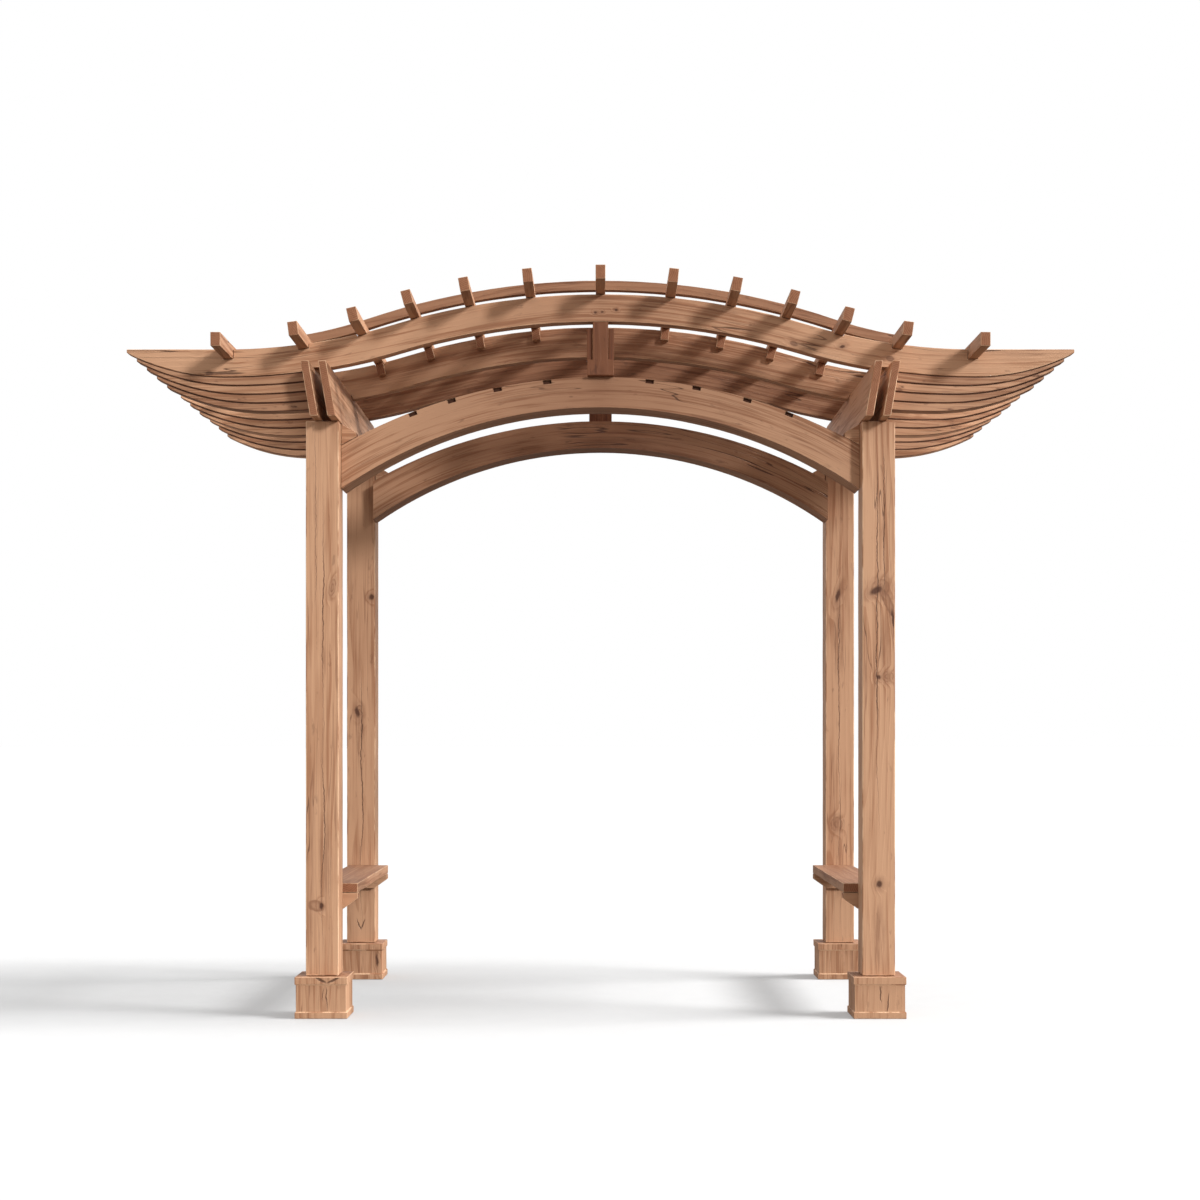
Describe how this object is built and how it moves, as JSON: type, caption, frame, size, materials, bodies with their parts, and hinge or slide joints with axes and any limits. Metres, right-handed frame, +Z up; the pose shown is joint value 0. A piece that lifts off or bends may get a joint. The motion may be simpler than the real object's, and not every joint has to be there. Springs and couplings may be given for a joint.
{
  "type": "arched timber pergola",
  "caption": "Free-standing timber pergola: posts on block feet, arched braces and rafters with swept stepped eaves, purlins on top and a bench on each side.",
  "frame": {"origin": "on the ground, in the middle of the four feet", "axes": "+Z up, +X across the walkway to the right as seen from the front, +Y from the front to the back"},
  "size_m": [3.422, 1.71, 2.6939],
  "materials": {
    "post_timber": "oiled, matt",
    "beam_timber": "oiled, matt",
    "leaf_timber": "oiled, matt",
    "batten_timber": "oiled, matt",
    "bench_timber": "oiled, matt"
  },
  "bodies": {
    "root": {"arch_back": "beam_timber", "arch_front": "beam_timber", "bearer_back_left": "bench_timber", "bearer_back_right": "bench_timber", "bearer_front_left": "bench_timber", "bearer_front_right": "bench_timber", "chocks_back": "batten_timber", "chocks_front": "batten_timber", "cleat_back_left": "beam_timber", "cleat_back_right": "beam_timber", "cleat_front_left": "beam_timber", "cleat_front_right": "beam_timber", "eave_leaves_back_left": "leaf_timber", "eave_leaves_back_right": "leaf_timber", "eave_leaves_front_left": "leaf_timber", "eave_leaves_front_right": "leaf_timber", "eave_leaves_middle_left": "leaf_timber", "eave_leaves_middle_right": "leaf_timber", "foot_back_left": "post_timber", "foot_back_right": "post_timber", "foot_front_left": "post_timber", "foot_front_right": "post_timber", "king_cheeks_back": "beam_timber", "king_cheeks_front": "beam_timber", "king_post_back": "beam_timber", "king_post_front": "beam_timber", "lath_back": "batten_timber", "lath_front": "batten_timber", "plate_left_inner": "beam_timber", "plate_left_outer": "beam_timber", "plate_right_inner": "beam_timber", "plate_right_outer": "beam_timber", "post_back_left": "post_timber", "post_back_right": "post_timber", "post_front_left": "post_timber", "post_front_right": "post_timber", "purlin_crown": "batten_timber", "purlin_left_1": "batten_timber", "purlin_left_2": "batten_timber", "purlin_left_3": "batten_timber", "purlin_left_4": "batten_timber", "purlin_left_5": "batten_timber", "purlin_left_6": "batten_timber", "purlin_right_1": "batten_timber", "purlin_right_2": "batten_timber", "purlin_right_3": "batten_timber", "purlin_right_4": "batten_timber", "purlin_right_5": "batten_timber", "purlin_right_6": "batten_timber", "rafter_back": "beam_timber", "rafter_front": "beam_timber", "rafter_middle": "beam_timber", "seat_left": "bench_timber", "seat_right": "bench_timber"}
  },
  "joints": []
}
